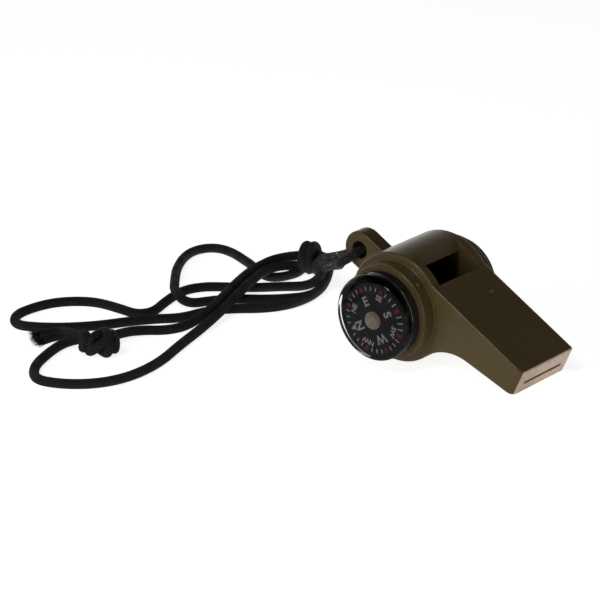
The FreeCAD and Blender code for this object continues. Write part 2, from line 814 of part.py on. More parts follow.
shell = whistle_body()
cover = side_cover()
rest = resting_place(shell)
half = SIZES["half_width"]
near_side = FreeCAD.Placement(vector(0, -half, 0), FreeCAD.Rotation(vector(0, 0, 1), 180))
far_side = FreeCAD.Placement(vector(0, half, 0), FreeCAD.Rotation())
sagged = FreeCAD.Placement(vector(0, 0, -SIZES["card_sag"]), FreeCAD.Rotation())

for piece in (shell, cover):
    piece.Placement = rest
for piece in compass_pieces():
    piece.Placement = rest.multiply(near_side)
for piece in card_pieces():
    piece.Placement = sagged.multiply(rest).multiply(near_side)
for piece in thermometer_pieces() + pointer_pieces():
    piece.Placement = rest.multiply(far_side)
coil, anchor, corner = coil_pieces()
coil.Placement = rest.multiply(far_side)
anchor.Placement = rest.multiply(far_side).multiply(FreeCAD.Placement(corner, FreeCAD.Rotation()))

cord_piece("lanyard_lead", FAR_LEAD, "cord_rad")
cord_piece("lanyard_far_leg", FAR_RUN, "cord_rad")
cord_piece("lanyard_near_leg", NEAR_RUN, "cord_rad")
cord_piece("lanyard_upper_tail", UPPER_TAIL, "tail_rad")
cord_piece("lanyard_lower_tail", LOWER_TAIL, "tail_rad")
upright = vector(0, 0, 1)
lanyard_wrap().Placement = FreeCAD.Placement(
    vector(*WRAP_SPOT, SIZES["wrap_middle"]), FreeCAD.Rotation(upright, WRAP_HEADING))
lanyard_knot().Placement = FreeCAD.Placement(
    vector(*KNOT_SPOT, SIZES["knot_middle"]), FreeCAD.Rotation(upright, KNOT_HEADING))
doc.recompute()


def sub_parts():
    """Every piece that is written out: whole bodies, and solids that stand by themselves."""
    kinds = ("PartDesign::Body", "Part::Feature", "Part::Box")
    return [item for item in doc.Objects if item.TypeId in kinds]


def check_model():
    for item in doc.Objects:
        if "Invalid" in item.State or "Error" in item.State:
            raise RuntimeError(f"{item.Name} failed: {item.State}")
    for item in sub_parts():
        if item.Shape.isNull() or not item.Shape.isValid() or item.Shape.Volume <= 0:
            raise RuntimeError(f"{item.Label} has no valid solid")


check_model()
os.makedirs("parts", exist_ok=True)
for item in sub_parts():
    item.Shape.exportStep(f"parts/{item.Label}.step")
    print(f"{item.Label}: {len(item.Shape.Solids)} solid, {item.Shape.Volume:.1f} cubic mm")
print(f"tilt {resting_tilt():.2f}, shift {rest.Base}")
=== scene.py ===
"""A moulded survival whistle with a compass, a thermometer and a knotted lanyard.

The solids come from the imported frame. This script gives them their finishes and adds the
braided lanyard, the print on both dials and the small marks of the mould, then sets up the
floor, the light and the camera. Lengths in the script are in metres.
"""
import math

import bpy
import numpy as np
from mathutils import Matrix, Vector


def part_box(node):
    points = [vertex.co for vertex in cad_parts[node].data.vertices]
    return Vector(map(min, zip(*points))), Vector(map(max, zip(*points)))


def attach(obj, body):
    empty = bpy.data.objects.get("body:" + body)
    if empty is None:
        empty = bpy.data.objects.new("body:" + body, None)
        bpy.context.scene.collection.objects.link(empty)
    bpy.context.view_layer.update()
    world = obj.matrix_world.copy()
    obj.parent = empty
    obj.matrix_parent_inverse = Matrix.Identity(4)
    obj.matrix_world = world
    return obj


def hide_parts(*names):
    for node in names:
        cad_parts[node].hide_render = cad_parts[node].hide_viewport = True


bl_info = {
    "name": "Survival Whistle",
    "version": (1, 0, 0),
    "blender": (4, 5, 0),
    "location": "View3D > Sidebar > Whistle",
    "description": "Builds a survival whistle with its dials and its lanyard",
    "category": "Object",
}

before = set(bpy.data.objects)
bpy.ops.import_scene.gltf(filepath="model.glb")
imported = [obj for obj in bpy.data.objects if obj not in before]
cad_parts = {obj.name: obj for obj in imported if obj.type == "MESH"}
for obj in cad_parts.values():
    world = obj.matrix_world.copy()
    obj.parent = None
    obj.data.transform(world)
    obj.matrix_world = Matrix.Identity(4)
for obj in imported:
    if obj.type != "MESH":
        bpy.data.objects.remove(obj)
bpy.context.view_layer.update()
MM = 0.001

# The lanyard's route in millimetres, from the lug to the knot. It is one cord whose middle
# lies in the lug's hole; its two legs are tied together at their ends.
FAR_LEAD = [
    (-24.75, 1.9, 19.9), (-24.75, 4.2, 19.9), (-26.0, 5.8, 19.3), (-29.4, 6.9, 17.4),
    (-34.2, 8.6, 14.9), (-39.6, 11.4, 12.1), (-45.3, 14.6, 9.4), (-49.6, 17.3, 7.4),
    (-52.6, 19.3, 5.6),
]
FAR_RUN = [
    (-59.6, 20.0, 1.1), (-59.0, 17.4, 1.1), (-60.1, 13.4, 1.1), (-62.5, 11.2, 1.1),
    (-67.0, 12.6, 1.1), (-71.0, 14.8, 1.1), (-74.8, 16.3, 1.1), (-81.0, 18.6, 1.1),
    (-86.2, 18.7, 1.1), (-89.1, 15.4, 1.1), (-88.9, 9.9, 1.1), (-84.3, 1.8, 1.2),
    (-76.7, -7.0, 2.4), (-70.1, -14.2, 3.4), (-64.6, -15.6, 1.9), (-62.9, -8.7, 1.1),
    (-59.3, -4.2, 1.1), (-54.1, -0.7, 1.1), (-49.6, 3.6, 1.1), (-46.5, 8.2, 1.1),
    (-47.6, 14.2, 1.2), (-51.2, 20.2, 1.8), (-54.7, 23.4, 3.0), (-60.0, 19.4, 2.4),
    (-62.3, 14.4, 3.2), (-62.2, 8.7, 3.4), (-59.7, 1.1, 3.5), (-56.5, -7.2, 3.4),
    (-54.0, -15.9, 2.4),
    (-52.7, -23.9, 1.1), (-50.0, -33.7, 1.1), (-46.6, -43.7, 1.1), (-45.8, -52.7, 1.1),
    (-47.6, -59.6, 1.1), (-51.6, -64.7, 1.1), (-57.1, -68.0, 1.1), (-62.1, -68.8, 1.1),
    (-67.1, -63.9, 1.1), (-69.9, -57.2, 1.1), (-71.5, -51.1, 1.2), (-69.8, -48.1, 1.9),
    (-66.5, -47.7, 3.0),
]
NEAR_RUN = [
    (-24.75, 1.9, 19.9), (-24.75, -0.4, 19.9), (-25.7, -1.8, 18.9), (-28.9, -1.6, 16.8),
    (-33.0, 3.6, 13.8), (-38.8, 9.0, 10.7), (-44.2, 12.8, 8.2), (-48.0, 14.6, 5.8),
    (-48.1, 13.4, 3.4), (-51.2, 12.0, 1.3), (-55.7, 8.9, 1.1), (-59.2, 5.2, 1.1),
    (-62.9, 2.2, 1.1), (-66.7, -0.2, 1.1), (-70.8, -3.4, 1.1), (-73.0, -8.4, 1.1),
    (-71.0, -16.8, 1.1), (-68.8, -22.6, 1.1), (-70.6, -26.4, 1.1), (-76.2, -26.3, 1.1),
    (-83.2, -26.6, 1.1), (-88.0, -29.2, 1.1), (-91.6, -33.4, 1.1), (-93.2, -38.8, 1.1),
    (-93.0, -45.1, 1.1), (-88.6, -49.2, 1.1), (-82.9, -46.6, 1.1), (-77.4, -42.2, 1.1),
    (-72.4, -37.2, 1.3), (-69.3, -31.0, 1.1), (-65.5, -25.8, 1.1), (-60.9, -21.4, 1.1),
    (-59.3, -14.3, 1.1), (-55.4, -9.2, 1.1), (-50.2, -5.1, 1.1), (-46.6, 0.6, 1.1),
    (-46.0, 8.2, 1.1), (-47.4, 14.6, 1.8), (-50.2, 20.1, 3.8), (-54.5, 23.6, 5.2),
    (-60.9, 20.4, 4.6), (-64.3, 15.8, 4.2), (-64.6, 10.6, 3.9), (-63.3, 4.0, 3.9),
    (-60.0, -5.6, 3.6), (-56.6, -13.9, 3.5), (-56.0, -19.4, 2.3), (-56.6, -24.7, 1.1),
    (-58.7, -29.6, 1.1), (-62.9, -32.6, 1.1), (-64.5, -38.0, 1.8), (-62.9, -44.8, 3.0),
]
UPPER_TAIL = [
    (-66.2, -48.0, 3.2), (-70.6, -47.3, 3.0), (-74.6, -46.2, 2.0), (-77.1, -45.6, 1.2),
    (-79.3, -47.6, 1.1), (-80.4, -50.7, 1.0),
]
LOWER_TAIL = [
    (-65.8, -48.2, 2.4), (-69.0, -46.8, 1.6), (-72.5, -45.6, 1.1), (-75.6, -46.7, 1.0),
    (-76.7, -49.4, 1.0), (-76.9, -53.0, 1.0),
]

# The far leg goes round the folded bundle on its way: the middle, axis and front of the turns.
WRAP_MIDDLE = Vector((-57.7, 21.9, 4.2))
WRAP_AXIS = Vector((0.9, 0.436, 0.0))
WRAP_FRONT = Vector((0.436, -0.9, 0.0))
WRAP_POINTS = 28
WRAP_PER_TURN = 12
WRAP_FIRST_ANGLE = -10.0
WRAP_FIRST_PLACE = 1.7
WRAP_PITCH = 1.8
WRAP_DEEP = 2.75
WRAP_TALL = 3.1

# The knot that ties both ends together: its middle and the way that it lies. The routes of
# its two cords are (along the knot, towards the front, up) from its middle.
KNOT_MIDDLE = Vector((-62.9, -47.4, 3.25))
KNOT_AXIS = Vector((0.7536, 0.6574, 0.0))
KNOT_OVER = [
    (1.6, -0.4, 0.2), (3.2, -0.6, 1.3), (3.4, 0.9, 1.9), (2.4, 2.4, 1.2), (0.8, 3.2, 0.2),
    (-0.8, 3.0, -1.0), (-2.0, 1.6, -2.1), (-2.2, -0.8, -2.2), (-1.0, -2.3, -0.8),
    (0.6, -1.8, 1.2), (1.9, -0.2, 2.2), (2.6, 1.6, 1.6), (2.9, 2.9, -0.2), (2.3, 3.2, -1.9),
    (1.5, 1.8, -2.25), (0.2, -0.4, -2.2), (-1.6, -1.8, -1.2), (-2.9, -1.6, 0.6),
    (-3.2, 0.2, 1.9), (-3.0, 1.9, 1.0), (-3.3, 2.0, -0.8), (-3.4, 0.8, -1.5), (-2.2, 0.0, -0.6),
]
KNOT_UNDER = [
    (1.8, 0.2, -0.4), (3.6, 0.4, 0.4), (4.1, 1.7, 0.5), (3.9, 1.9, -1.2), (3.6, 0.2, -2.2),
    (3.3, -1.6, -1.2), (2.4, -1.4, 0.8), (0.8, -0.2, 1.6), (-0.8, 1.2, 1.5), (-1.8, 2.2, 0.3),
    (-1.6, 1.8, -1.3), (-0.6, 0.0, -1.2), (0.2, 0.0, 0.2), (-1.6, 0.2, 0.3), (-3.2, -0.2, 0.4),
]

# The cord's skin: its gap over the floor, its width for its radius, the braid's level height,
# the dip of a strand that goes under, its threads, the spacing of rings and path, and a step
# off the edges where two strands tie.
FLOOR_GAP = 0.00003
BRAID_WIDTH = 1.06
BRAID_LEVEL = 0.3
STRAND_DIP = 0.55
THREADS = 5
RING_STEP = 0.00016
WIDE_STEP = 0.0002
PATH_STEP = 0.0008
EDGE_STEP = 1e-6

# A cut end. Its tube and its ring of fibres are shares of the cord's diameter, the other
# numbers are shares of the fringe or of a fibre's length.
TAIL_WIDTH = 0.48
FIBRES_WIDTH = 0.44
FRINGE_SHARE = 0.6
FIBRE_RADIUS = 0.00006
FIBRE_PARTS = 6
FIBRE_REACH = (0.6, 1.5)
FIBRE_SPREAD = 0.22
FIBRE_RISE = 0.02
FIBRE_LIFT = 0.10
FIBRE_BEND = 0.3

# How far the whistle tips down onto its lip, how far its end face leans back from square, how
# deep the painted light on that face reaches, and where the middle of the barrel lies.
RESTING_TILT = 29.78
MOUTH_LEAN = 4.97
LIT_END_DEPTH = 0.1 * MM
BARREL_MIDDLE_Y = 0.0019

# The pips that the mould leaves, in millimetres from the barrel's middle on the level whistle,
# with the way each faces, and their height for their radius.
PIPS = (
    ((12.6, 3.75, 11.8), (0, 0, 1)),
    ((2.87, -11.35, 10.88), (0.255, 0, 0.967)),
)
PIP_HEIGHT = 0.6

# Solids of the frame: points closer than this are merged, faces flatter than this are joined
# and edges flatter than these are shaded smooth, in degrees.
MERGE_REACH = 0.000002
FLAT_ANGLE = 0.2
SMOOTH_ANGLE = 28.0
DOME_ANGLE = 40.0

# The compass's clear body: the case's wall and floor, and the lens's gap, rise and round edge.
CASE_WALL = 0.65 * MM
CASE_FLOOR = 0.95 * MM
LENS_GAP = 0.02 * MM
LENS_RISE = 2.0 * MM
LENS_EDGE = 1.5 * MM
EDGE_RINGS = 12
CROWN_RINGS = 16

# The compass card: where its N points, seen from its front in degrees anticlockwise from the
# right, its marks and their widths, and its arrow with the width of the tip as a share.
NORTH_ANGLE = -150.3
CARD_MARKS = 32
MARKS_PER_LETTER = 4
TICK_WIDTH = 0.00028
RED_WIDTH = 0.0008
RED_EXTRA = 0.0001
ARROW_WIDTH = 0.0016
ARROW_SPAN = (0.0057, 0.0073)
ARROW_TIP = 0.05

# The thermometer's dial: its scale in degrees Celsius, where the red marks start, the
# temperature at rest, the turn for each degree, and the sizes of its marks and numbers.
COLDEST, HOTTEST, DEGREE_STEP, LONG_STEP = -20, 50, 2, 10
RED_FROM = 30
RESTING_DEGREES = 20
TURN_PER_DEGREE = 4.0
SCALE_REACH = 0.0080
LONG_MARK, LONG_WIDTH = 0.0012, 0.00028
SHORT_MARK, SHORT_WIDTH = 0.0006, 0.00016
NUMBER_HEIGHT, NUMBER_REACH = 0.00125, 0.0058
UNIT_HEIGHT, UNIT_REACH = 0.0013, 0.0035
LETTER_SIZE = 0.7
STROKE_GROWTH = 0.04
SERIF_PLACE = 0.97
SERIF_LENGTH, SERIF_WIDTH = 0.24, 0.08

LAMP_TARGET = (0, 0, 0.01)

# where the main letters' strokes end in short cross strokes, in letter heights
SERIFS = {
    "N": ((-0.30, -0.5), (-0.30, 0.5), (0.30, 0.5)),
    "E": ((-0.27, -0.5), (-0.27, 0.5)),
    "S": (),
    "W": ((-0.48, 0.5), (0.0, 0.5), (0.48, 0.5)),
}


def wrap_turns():
    """The turns round the bundle, as points of the far leg's own route."""
    turns = []
    for index in range(WRAP_POINTS):
        angle = math.radians(WRAP_FIRST_ANGLE - 360.0 / WRAP_PER_TURN * index)
        along = WRAP_FIRST_PLACE - WRAP_PITCH / WRAP_PER_TURN * index
        turns.append(WRAP_MIDDLE + WRAP_AXIS * along
                     + WRAP_FRONT * (WRAP_DEEP * math.cos(angle))
                     + Vector((0, 0, WRAP_TALL * math.sin(angle))))
    return turns


OPTION_KINDS = {
    "length": (bpy.props.FloatProperty, {"subtype": "DISTANCE", "unit": "LENGTH"}),
    "angle": (bpy.props.FloatProperty, {"subtype": "ANGLE", "unit": "ROTATION"}),
    "number": (bpy.props.FloatProperty, {}),
    "count": (bpy.props.IntProperty, {}),
    "colour": (bpy.props.FloatVectorProperty,
               {"subtype": "COLOR", "size": 3, "min": 0.0, "max": 1.0}),
    "place": (bpy.props.FloatVectorProperty, {"subtype": "XYZ", "unit": "LENGTH", "size": 3}),
}


def option(kind, name, description, default):
    make, extra = OPTION_KINDS[kind]
    return make(name=name, description=description, default=default, **extra)


class CordSettings(bpy.types.PropertyGroup):
    diameter: option("length", "Cord diameter", "Thickness of the braided cord", 0.002)
    far_length: option("length", "Far leg", "Length of the leg round the bundle", 0.337)
    near_length: option("length", "Near leg", "Length of the other leg", 0.300)
    strands: option("count", "Strands", "Strands of the braid that run each way", 8)
    lay_length: option(
        "length", "Lay length", "Length of cord in which a strand goes round once", 0.005)
    relief: option("number", "Relief", "Height of the strands for the cord's radius", 0.2)
    colour: option("colour", "Cord colour", "Colour of the nylon", (0.016, 0.0152, 0.0135))
    fringe: option("length", "Fringe", "Length of the loose fibres at a cut end", 0.0019)
    fibres: option("count", "Fibres", "Loose fibres at each cut end", 300)


class BodySettings(bpy.types.PropertyGroup):
    colour: option(
        "colour", "Plastic colour", "Colour of the moulded plastic", (0.096, 0.067, 0.027))
    # painted light: the pale colour painted on the mouthpiece's end face
    worn_colour: option(
        "colour", "Worn colour", "Colour of the painted light on the end face", (0.66, 0.50, 0.38))
    roughness: option("number", "Roughness", "Roughness of the moulded plastic", 0.23)
    pip_radius: option("length", "Pip radius", "Radius of the small moulding pips", 0.0006)


class DialSettings(bpy.types.PropertyGroup):
    letter_height: option("length", "Letter height", "Height of the four main letters", 0.0021)
    letter_reach: option("length", "Letter reach", "Their distance from the middle", 0.0044)
    small_height: option(
        "length", "Small letter height", "Height of the letters between them", 0.00125)
    small_reach: option(
        "length", "Small letter reach", "Their distance from the middle", 0.0056)
    tick_reach: option(
        "length", "Tick reach", "Distance of the scale's outer end from the middle", 0.0078)
    tick_length: option("length", "Tick length", "Length of a white tick", 0.0010)
    print_thickness: option(
        "length", "Ink thickness", "How far the print stands above the card", 0.00003)


class StageSettings(bpy.types.PropertyGroup):
    floor_size: option("length", "Floor size", "Width of the pale floor", 6.0)
    lens: option("number", "Lens", "Focal length in millimetres", 171.39)
    camera_place: option(
        "place", "Camera place", "Where it stands", (0.37096, -0.47337, 0.25299))
    camera_turn: option("angle", "Camera turn", "How far it looks round", math.radians(41.141))
    camera_drop: option("angle", "Camera drop", "How far it looks down", math.radians(21.642))
    camera_roll: option("angle", "Camera roll", "How far it is rolled", math.radians(-0.894))


def settings(name):
    return getattr(bpy.context.scene, "whistle_" + name)


# Small helpers for shader nodes

class Nodes:
    """Short ways to add nodes to a tree."""

    def __init__(self, tree):
        self.tree = tree
        self.places = {}

    def node(self, kind, inputs=None, **settings_of):
        node = self.tree.nodes.new("ShaderNode" + kind)
        for key, value in settings_of.items():
            setattr(node, key, value)
        for key, value in (inputs or {}).items():
            self.feed(node.inputs[key], value)
        return node

    def feed(self, socket, value):
        if isinstance(value, bpy.types.NodeSocket):
            self.tree.links.new(value, socket)
        else:
            socket.default_value = value

    def dot(self, first, second):
        node = self.node("VectorMath", {0: first, 1: tuple(second)}, operation="DOT_PRODUCT")
        return node.outputs["Value"]

    def math(self, operation, first, second=0.0, third=0.0):
        node = self.node("Math", {0: first, 1: second, 2: third}, operation=operation)
        return node.outputs[0]

    def scaled(self, value, factor, offset):
        return self.math("MULTIPLY_ADD", value, factor, offset)

    def place(self, which="Object"):
        if which not in self.places:
            self.places[which] = self.node("TexCoord").outputs[which]
        return self.places[which]

    def noise(self, scale, detail=2.0, roughness=0.5, place=None):
        node = self.node("TexNoise", {"Vector": place or self.place(), "Scale": scale,
                                      "Detail": detail, "Roughness": roughness})
        return node.outputs["Fac"]

    def ramp(self, value, *stops):
        """Maps a value through (place, level or colour) stops."""
        node = self.node("ValToRGB", {"Fac": value})
        ramp = node.color_ramp
        while len(ramp.elements) < len(stops):
            ramp.elements.new(0.5)
        for element, (spot, level) in zip(ramp.elements, stops):
            element.position = spot
            colour = (level,) * 3 if isinstance(level, (int, float)) else level
            element.color = (*colour, 1.0)
        return node.outputs["Color"]

    def mix(self, share, first, second):
        node = self.node("Mix", data_type="RGBA")
        self.feed(node.inputs["Factor"], share)
        self.feed(node.inputs[6], first)
        self.feed(node.inputs[7], second)
        return node.outputs[2]

    def bump(self, height, strength, distance, under=None):
        inputs = {"Height": height, "Strength": strength, "Distance": distance}
        if under is not None:
            inputs["Normal"] = under
        return self.node("Bump", inputs).outputs["Normal"]


class Surface(Nodes):
    """A material with one Principled shader."""

    def __init__(self, name):
        self.material = bpy.data.materials.new(name)
        self.material.use_nodes = True
        super().__init__(self.material.node_tree)
        self.shader = self.tree.nodes["Principled BSDF"]

    def set(self, **values):
        for key, value in values.items():
            self.shader.inputs[key.replace("_", " ")].default_value = value
        return self

    def into(self, name, value):
        self.feed(self.shader.inputs[name], value)
        return self


def rgba(colour):
    return (*colour, 1.0)


def darker(colour, share):
    return rgba(tuple(part * share for part in colour))


# Materials

def olive_plastic():
    """Semi-gloss moulded plastic with fine rub marks, and painted light: a pale, rougher end face
    on the mouthpiece.
    """
    body = settings("body")
    s = Surface("olive plastic")
    place = s.place()
    cloud = s.noise(90.0, 3.0)
    mottled = s.mix(s.ramp(cloud, (0.35, 0.0), (0.7, 1.0)),
                    darker(body.colour, 0.93), darker(body.colour, 1.08))
    fine = s.noise(1400.0, 2.0)
    rub = s.node("Mapping", {"Vector": place, "Scale": (60.0, 900.0, 60.0)}).outputs["Vector"]
    streak = s.ramp(s.noise(1.0, 4.0, 0.7, place=rub), (0.45, 0.0), (0.75, 1.0))
    scratch = s.ramp(s.noise(1.0, 2.0, 0.5, place=s.node(
        "Mapping", {"Vector": place, "Rotation": (0.3, 0.5, 0.9), "Scale": (160.0, 1900.0, 260.0)}
    ).outputs["Vector"]), (0.74, 0.0), (0.78, 1.0))
    rubbed = s.mix(s.math("MULTIPLY", scratch, 0.25), mottled, darker(body.colour, 3.0))
    # painted light: the mouthpiece's end face is painted pale, in patches, and made rougher there
    outward, reach = end_face()
    at_end = s.math("SUBTRACT", s.dot(place, outward), reach)
    lit_end = s.ramp(s.scaled(at_end, 5000.0, 1.5), (0.0, 0.0), (1.0, 1.0))
    patchy = s.ramp(s.noise(700.0, 4.0, 0.6), (0.3, 0.75), (0.6, 1.0))
    s.into("Base Color", s.mix(s.math("MULTIPLY", lit_end, patchy), rubbed,
                               rgba(body.worn_colour)))
    rough = s.scaled(streak, 0.02, body.roughness)
    rough = s.scaled(lit_end, 0.25, rough)
    s.into("Roughness", s.scaled(fine, 0.05, rough))
    soft = s.bump(s.noise(420.0, 2.0), 0.10, 0.0002)
    s.into("Normal", s.bump(fine, 0.08, 0.00004, soft))
    s.set(IOR=1.5)
    return s.material


def grained(name, tone_noise, dark, light, rough_noise, roughness, relief_noise, relief):
    """A plain finish: two tones, a roughness and a fine relief, each from its own noise."""
    s = Surface(name)
    s.into("Base Color", s.mix(s.noise(*tone_noise), rgba(dark), rgba(light)))
    s.into("Roughness", s.scaled(s.noise(rough_noise), *roughness))
    s.into("Normal", s.bump(s.noise(*relief_noise), *relief))
    return s.material


def clear_plastic(name="clear plastic", bending=1.46):
    s = Surface(name)
    s.set(Base_Color=(1, 1, 1, 1), IOR=bending, Transmission_Weight=1.0)
    s.into("Roughness", s.scaled(s.noise(90.0, 2.0), 0.01, 0.02))
    return s.material


def turned_metal(name, dark, light, roughness):
    """Metal with the fine rings that a lathe leaves."""
    s = Surface(name)
    stretched = s.node("Mapping", {"Vector": s.place(), "Scale": (300.0, 4000.0, 300.0)})
    grain = s.noise(1.0, 3.0, place=stretched.outputs["Vector"])
    s.into("Base Color", s.mix(grain, rgba(dark), rgba(light)))
    s.into("Roughness", s.scaled(grain, 0.15, roughness))
    s.into("Normal", s.bump(grain, 0.15, 0.00003))
    s.set(Metallic=1.0)
    return s.material


def ink(name, colour):
    """Screen-printed ink, a little thinner here and there."""
    s = Surface(name)
    thin = s.ramp(s.noise(1800.0, 3.0), (0.3, 0.0), (0.6, 1.0))
    s.into("Base Color", s.mix(thin, darker(colour, 0.8), rgba(colour)))
    s.into("Roughness", s.scaled(thin, 0.1, 0.42))
    s.into("Normal", s.bump(thin, 0.1, 0.00002))
    return s.material


def jewel_glass():
    s = Surface("jewel glass")
    s.set(Base_Color=(0.75, 0.2, 0.32, 1), IOR=1.76, Transmission_Weight=0.8)
    s.into("Roughness", s.math("MULTIPLY", s.noise(900.0), 0.08))
    return s.material


def braid_nylon():
    """Diamond braid of shiny filaments, with painted shade in the grooves between strands, lighter
    crowns and painted glints. The map's u goes round the cord, v along it in lays.
    """
    cord = settings("cord")
    s = Surface("braided nylon")
    split = s.node("SeparateXYZ", {"Vector": s.place("UV")})
    around = s.math("MULTIPLY", split.outputs["X"], float(cord.strands))
    along = s.math("MULTIPLY", split.outputs["Y"], float(cord.strands))
    left = s.math("ADD", around, along)
    right = s.math("SUBTRACT", around, along)
    parity = s.math("ADD", s.math("FLOOR", left), s.math("FLOOR", right))
    over = s.math("FLOORED_MODULO", parity, 2.0)
    across = s.node("Mix", {"Factor": over, "A": left, "B": right}).outputs["Result"]
    across = s.math("FRACT", across)
    lengthways = s.node("Mix", {"Factor": over, "A": right, "B": left}).outputs["Result"]
    lengthways = s.math("FRACT", lengthways)
    threads = s.math("SINE", s.math("MULTIPLY", across, 2 * math.pi * THREADS))
    crown = s.math("POWER", s.math("ABSOLUTE", s.scaled(across, 2.0, -1.0)), 2.0)
    crown = s.math("SUBTRACT", 1.0, crown)
    dip = s.math("POWER", s.math("ABSOLUTE", s.scaled(lengthways, 2.0, -1.0)), 3.0)
    height = s.math("SUBTRACT", s.scaled(threads, 0.10, crown),
                    s.math("MULTIPLY", dip, 0.8))
    # painted glints: specks of lighter colour all over the cord
    painted_glints = s.ramp(s.noise(5200.0, 2.0), (0.56, 0.0), (0.66, 1.0))
    # painted shade and highlight: the grooves between strands are painted darker and the crowns
    # lighter
    body = s.mix(s.ramp(height, (0.2, 0.0), (0.85, 1.0)),
                 darker(cord.colour, 0.1), darker(cord.colour, 2.9))
    # painted sparkle: white specks of painted highlight on single filaments, most in the stretch
    # that hangs from the lug
    hanging = s.ramp(s.scaled(s.dot(s.place(), (1, 0, 0)), 40.0, 2.2),
                     (0.2, 0.05), (0.32, 1.0), (0.6, 1.0), (0.74, 0.1))
    aloft = s.ramp(s.math("MULTIPLY", s.dot(s.place(), (0, 0, 1)), 100.0), (0.6, 0.0), (0.8, 1.0))
    painted_sparkle = s.math("MULTIPLY", s.ramp(s.noise(2100.0, 1.0), (0.69, 0.0), (0.71, 1.0)),
                   s.math("MULTIPLY", hanging, aloft))
    grained = s.mix(s.math("MULTIPLY", painted_glints, 0.2), body, darker(cord.colour, 4.0))
    s.into("Base Color", s.mix(painted_sparkle, grained, (0.95, 0.95, 0.93, 1.0)))
    s.into("Roughness", s.scaled(s.noise(2600.0), 0.25, 0.4))
    s.into("Normal", s.bump(height, 1.0, 0.0002))
    s.set(IOR=1.5, Specular_IOR_Level=0.3)
    return s.material


def nylon_fibres():
    cord = settings("cord")
    s = Surface("loose nylon fibres")
    s.into("Base Color", s.mix(s.noise(900.0), darker(cord.colour, 0.6), darker(cord.colour, 1.6)))
    s.into("Roughness", s.scaled(s.noise(2500.0), 0.2, 0.5))
    s.set(Specular_IOR_Level=0.25)
    return s.material


FINISHES = {}


def finish(name):
    """Each material is made once, when the first piece asks for it."""
    makers = {
        "olive": olive_plastic, "clear": clear_plastic, "jewel": jewel_glass,
        "braid": braid_nylon, "fibres": nylon_fibres,
        "case": lambda: grained(
            "black plastic", (160.0, 3.0), (0.006, 0.006, 0.0065), (0.011, 0.011, 0.011),
            900.0, (0.15, 0.3), (1600.0,), (0.1, 0.00003)),
        "rubber": lambda: grained(
            "black rubber", (300.0,), (0.007, 0.007, 0.007), (0.013, 0.012, 0.011),
            700.0, (0.2, 0.5), (2500.0, 3.0), (0.2, 0.00004)),
        "card": lambda: grained(
            "dial paint", (500.0, 3.0), (0.006, 0.007, 0.009), (0.012, 0.013, 0.016),
            1500.0, (0.15, 0.38), (3000.0,), (0.06, 0.00002)),
        "liquid": lambda: clear_plastic("lens and liquid", 1.34),
        "white ink": lambda: ink("white ink", (0.94, 0.94, 0.93)),
        "red ink": lambda: ink("red ink", (0.50, 0.02, 0.05)),
        "hub": lambda: ink("hub enamel", (0.95, 0.77, 0.59)),
        "steel": lambda: turned_metal("steel", (0.45, 0.45, 0.46), (0.62, 0.62, 0.63), 0.25),
        "magnet": lambda: turned_metal("magnet", (0.10, 0.10, 0.11), (0.16, 0.16, 0.17), 0.45),
        "spring": lambda: turned_metal("spring strip", (0.42, 0.33, 0.16), (0.6, 0.5, 0.28), 0.3),
        "red paint": lambda: ink("red paint", (0.45, 0.02, 0.015)),
    }
    if name not in FINISHES:
        FINISHES[name] = makers[name]()
    return FINISHES[name]


# Small helpers for meshes

def placed(name, data):
    """A new object with this data, in the scene."""
    obj = bpy.data.objects.new(name, data)
    bpy.context.scene.collection.objects.link(obj)
    return obj


def clear_choice():
    if bpy.context.object and bpy.context.object.mode != "OBJECT":
        bpy.ops.object.mode_set(mode="OBJECT")
    bpy.ops.object.select_all(action="DESELECT")


def choose(obj):
    clear_choice()
    obj.select_set(True)
    bpy.context.view_layer.objects.active = obj
    return obj


def settle(obj):
    """Puts an object's place, turn and size into its mesh."""
    choose(obj)
    bpy.ops.object.transform_apply(location=True, rotation=True, scale=True)
    return obj


def dress(obj, name):
    obj.data.materials.clear()
    obj.data.materials.append(finish(name))
    return obj


def weigh_normals(piece):
    """Keeps large flat faces flat, so that only the rounded strips between them shade."""
    choose(piece)
    bpy.ops.object.modifier_add(type="WEIGHTED_NORMAL")
    weigher = piece.modifiers[-1]
    weigher.keep_sharp = True
    bpy.ops.object.modifier_apply(modifier=weigher.name)


def smooth_copy(node, name, look, body="whistle", angle=SMOOTH_ANGLE):
    """A solid of the frame with its flat faces merged and its round faces shaded smooth."""
    piece = choose(placed(name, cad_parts[node].data.copy()))
    bpy.ops.object.mode_set(mode="EDIT")
    bpy.ops.mesh.select_all(action="SELECT")
    bpy.ops.mesh.remove_doubles(threshold=MERGE_REACH)
    bpy.ops.mesh.dissolve_limited(angle_limit=math.radians(FLAT_ANGLE))
    bpy.ops.object.mode_set(mode="OBJECT")
    bpy.ops.object.shade_smooth_by_angle(angle=math.radians(angle))
    weigh_normals(piece)
    dress(piece, look)
    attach(piece, body)
    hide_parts(node)


def joined(pieces, name):
    clear_choice()
    for piece in pieces:
        piece.select_set(True)
    bpy.context.view_layer.objects.active = pieces[0]
    bpy.ops.object.join()
    result = bpy.context.object
    result.name = name
    result.data.name = name
    return settle(result)


def smooth_line(name, points):
    """The points of a smooth NURBS curve through the cord's route, in metres."""
    curve = bpy.data.curves.new(name + "_line", "CURVE")
    curve.dimensions = "3D"
    curve.resolution_u = 12
    spline = curve.splines.new("NURBS")
    spline.points.add(len(points) - 1)
    for place, point in zip(spline.points, points):
        place.co = (*(Vector(point) * MM), 1.0)
    spline.order_u = 3
    spline.use_endpoint_u = True
    guide = placed(name + "_line", curve)
    mesh = bpy.data.meshes.new_from_object(guide)
    line = np.array([vertex.co for vertex in mesh.vertices], float)
    bpy.data.objects.remove(guide)
    bpy.data.meshes.remove(mesh)
    return line


